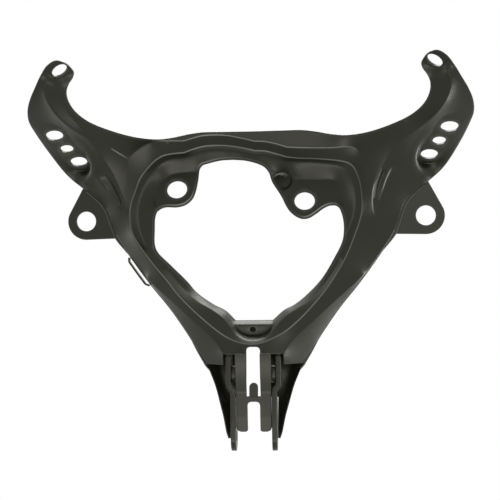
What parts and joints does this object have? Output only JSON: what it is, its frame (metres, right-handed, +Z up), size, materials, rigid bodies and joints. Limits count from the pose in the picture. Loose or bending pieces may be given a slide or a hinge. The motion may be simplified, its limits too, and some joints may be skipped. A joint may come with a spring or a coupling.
{
  "type": "motorcycle fairing stay",
  "caption": "Pressed and welded steel bracket that carries a motorcycle's headlight, mirrors and upper fairing, with swept horns, a window and a forked foot.",
  "frame": {"origin": "middle plane, middle of the depth, level with the lower ends of the clevis cheeks", "axes": "+X to the right as the rider sees it, +Y forwards away from the rider, +Z up"},
  "size_m": [0.4016, 0.1195, 0.3514],
  "materials": {
    "black_paint": "satin"
  },
  "bodies": {
    "root": {"main_pressing": "black_paint", "rear_shell": "black_paint", "left_lug": "black_paint", "right_lug": "black_paint", "left_clevis_plate": "black_paint", "right_clevis_plate": "black_paint", "centre_bracket": "black_paint", "left_collar": "black_paint", "right_collar": "black_paint", "harness_guide": "black_paint"}
  },
  "joints": []
}
